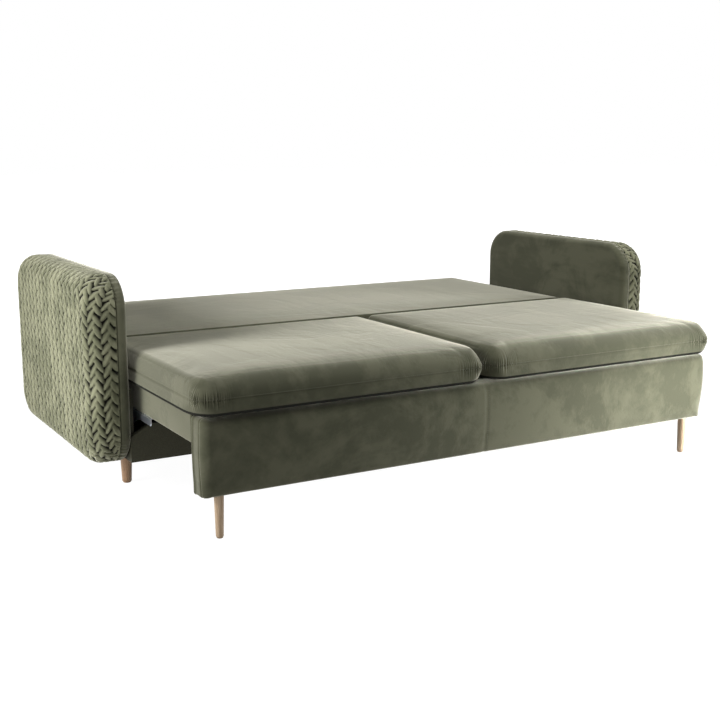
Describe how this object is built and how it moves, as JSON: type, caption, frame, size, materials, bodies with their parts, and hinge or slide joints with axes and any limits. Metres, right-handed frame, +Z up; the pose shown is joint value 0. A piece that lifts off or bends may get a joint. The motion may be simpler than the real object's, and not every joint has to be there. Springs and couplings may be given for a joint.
{
  "type": "sofa bed",
  "caption": "Pull-out sofa bed with padded armrests, seat cushions on a rolling front and a backrest that folds flat behind them.",
  "frame": {"origin": "on the floor, at the middle of the outline of the unfolded bed", "axes": "+X along the sofa from armrest to armrest, +Y from the pulled-out seat towards the rear, +Z up"},
  "size_m": [2.256, 1.602, 0.708],
  "materials": {
    "velvet": "sage olive velvet with a visible nap",
    "timber": "planed softwood and plywood",
    "dark_board": "matt dark laminated board",
    "pale_wood": "pale varnished wood",
    "brown_wood": "brown stained wood",
    "zinc": "bright zinc plated steel",
    "nylon": "black nylon",
    "lining": "dark non-woven lining"
  },
  "bodies": {
    "base": {"box_front_board": "dark_board", "box_bottom_panel": "dark_board", "box_rear_board": "dark_board", "box_side_board_left": "dark_board", "box_side_board_right": "dark_board", "rear_stretcher": "timber", "base_leg_front_left": "brown_wood", "base_leg_front_right": "brown_wood", "base_leg_rear_left": "brown_wood", "base_leg_rear_right": "brown_wood", "guide_rail_left": "zinc", "guide_rail_right": "zinc", "arm_core_left": "timber", "arm_core_right": "timber", "arm_inner_pad_left": "velvet", "arm_inner_pad_right": "velvet", "arm_outer_pad_left": "velvet", "arm_outer_pad_right": "velvet", "arm_bolt_front_left": "zinc", "arm_bolt_front_right": "zinc", "arm_bolt_rear_left": "zinc", "arm_bolt_rear_right": "zinc"},
    "seat": {"fascia_core": "timber", "fascia_pad": "velvet", "seat_front_rail": "timber", "seat_rear_rail": "timber", "seat_centre_rail": "timber", "seat_side_rail_left": "velvet", "seat_side_rail_right": "velvet", "seat_deck": "timber", "seat_leg_left": "pale_wood", "seat_leg_right": "pale_wood", "seat_cushion_left": "velvet", "seat_cushion_right": "velvet", "seat_bracket_left": "zinc", "seat_bracket_right": "zinc", "roller_axle_front_left": "zinc", "roller_axle_front_right": "zinc", "roller_axle_rear_left": "zinc", "roller_axle_rear_right": "zinc", "link_pin_left": "zinc", "link_pin_right": "zinc"},
    "front_rollers": {"roller_front_left": "nylon", "roller_front_right": "nylon"},
    "rear_rollers": {"roller_rear_left": "nylon", "roller_rear_right": "nylon"},
    "back_links": {"back_link_left": "zinc", "back_link_right": "zinc"},
    "back": {"back_pad": "velvet", "back_cover": "lining", "back_side_rail_left": "timber", "back_side_rail_right": "timber", "back_lower_rail": "timber", "back_upper_rail": "timber", "back_bracket_left": "zinc", "back_bracket_right": "zinc", "rest_peg_left": "zinc", "rest_peg_right": "zinc", "fold_pin_left": "zinc", "fold_pin_right": "zinc"}
  },
  "joints": [
    {"name": "seat_slide", "type": "slide", "parent": "base", "child": "seat", "axis": [0, 1, 0], "range_m": [0, 0.41]},
    {"name": "front_roller_spin", "type": "hinge", "parent": "seat", "child": "front_rollers", "pos_m": [0, -0.153, 0.19], "axis": [1, 0, 0], "range_deg": [-1680, 0]},
    {"name": "rear_roller_spin", "type": "hinge", "parent": "seat", "child": "rear_rollers", "pos_m": [0, -0.033, 0.19], "axis": [1, 0, 0], "range_deg": [-1680, 0]},
    {"name": "link_swing", "type": "hinge", "parent": "seat", "child": "back_links", "pos_m": [0, -0.0514, 0.3153], "axis": [1, 0, 0], "range_deg": [-68.4, 0]},
    {"name": "back_fold", "type": "hinge", "parent": "back_links", "child": "back", "pos_m": [0, 0.0701, 0.4063], "axis": [1, 0, 0], "range_deg": [0, 152.8]}
  ],
  "couplings": [
    {"joint": "front_roller_spin", "follows": "seat_slide", "rad_per_m": -71.429},
    {"joint": "rear_roller_spin", "follows": "seat_slide", "rad_per_m": -71.429},
    {"joint": "link_swing", "follows": "seat_slide", "rad_per_m": -2.9075},
    {"joint": "back_fold", "follows": "seat_slide", "rad_per_m": 6.5003}
  ]
}
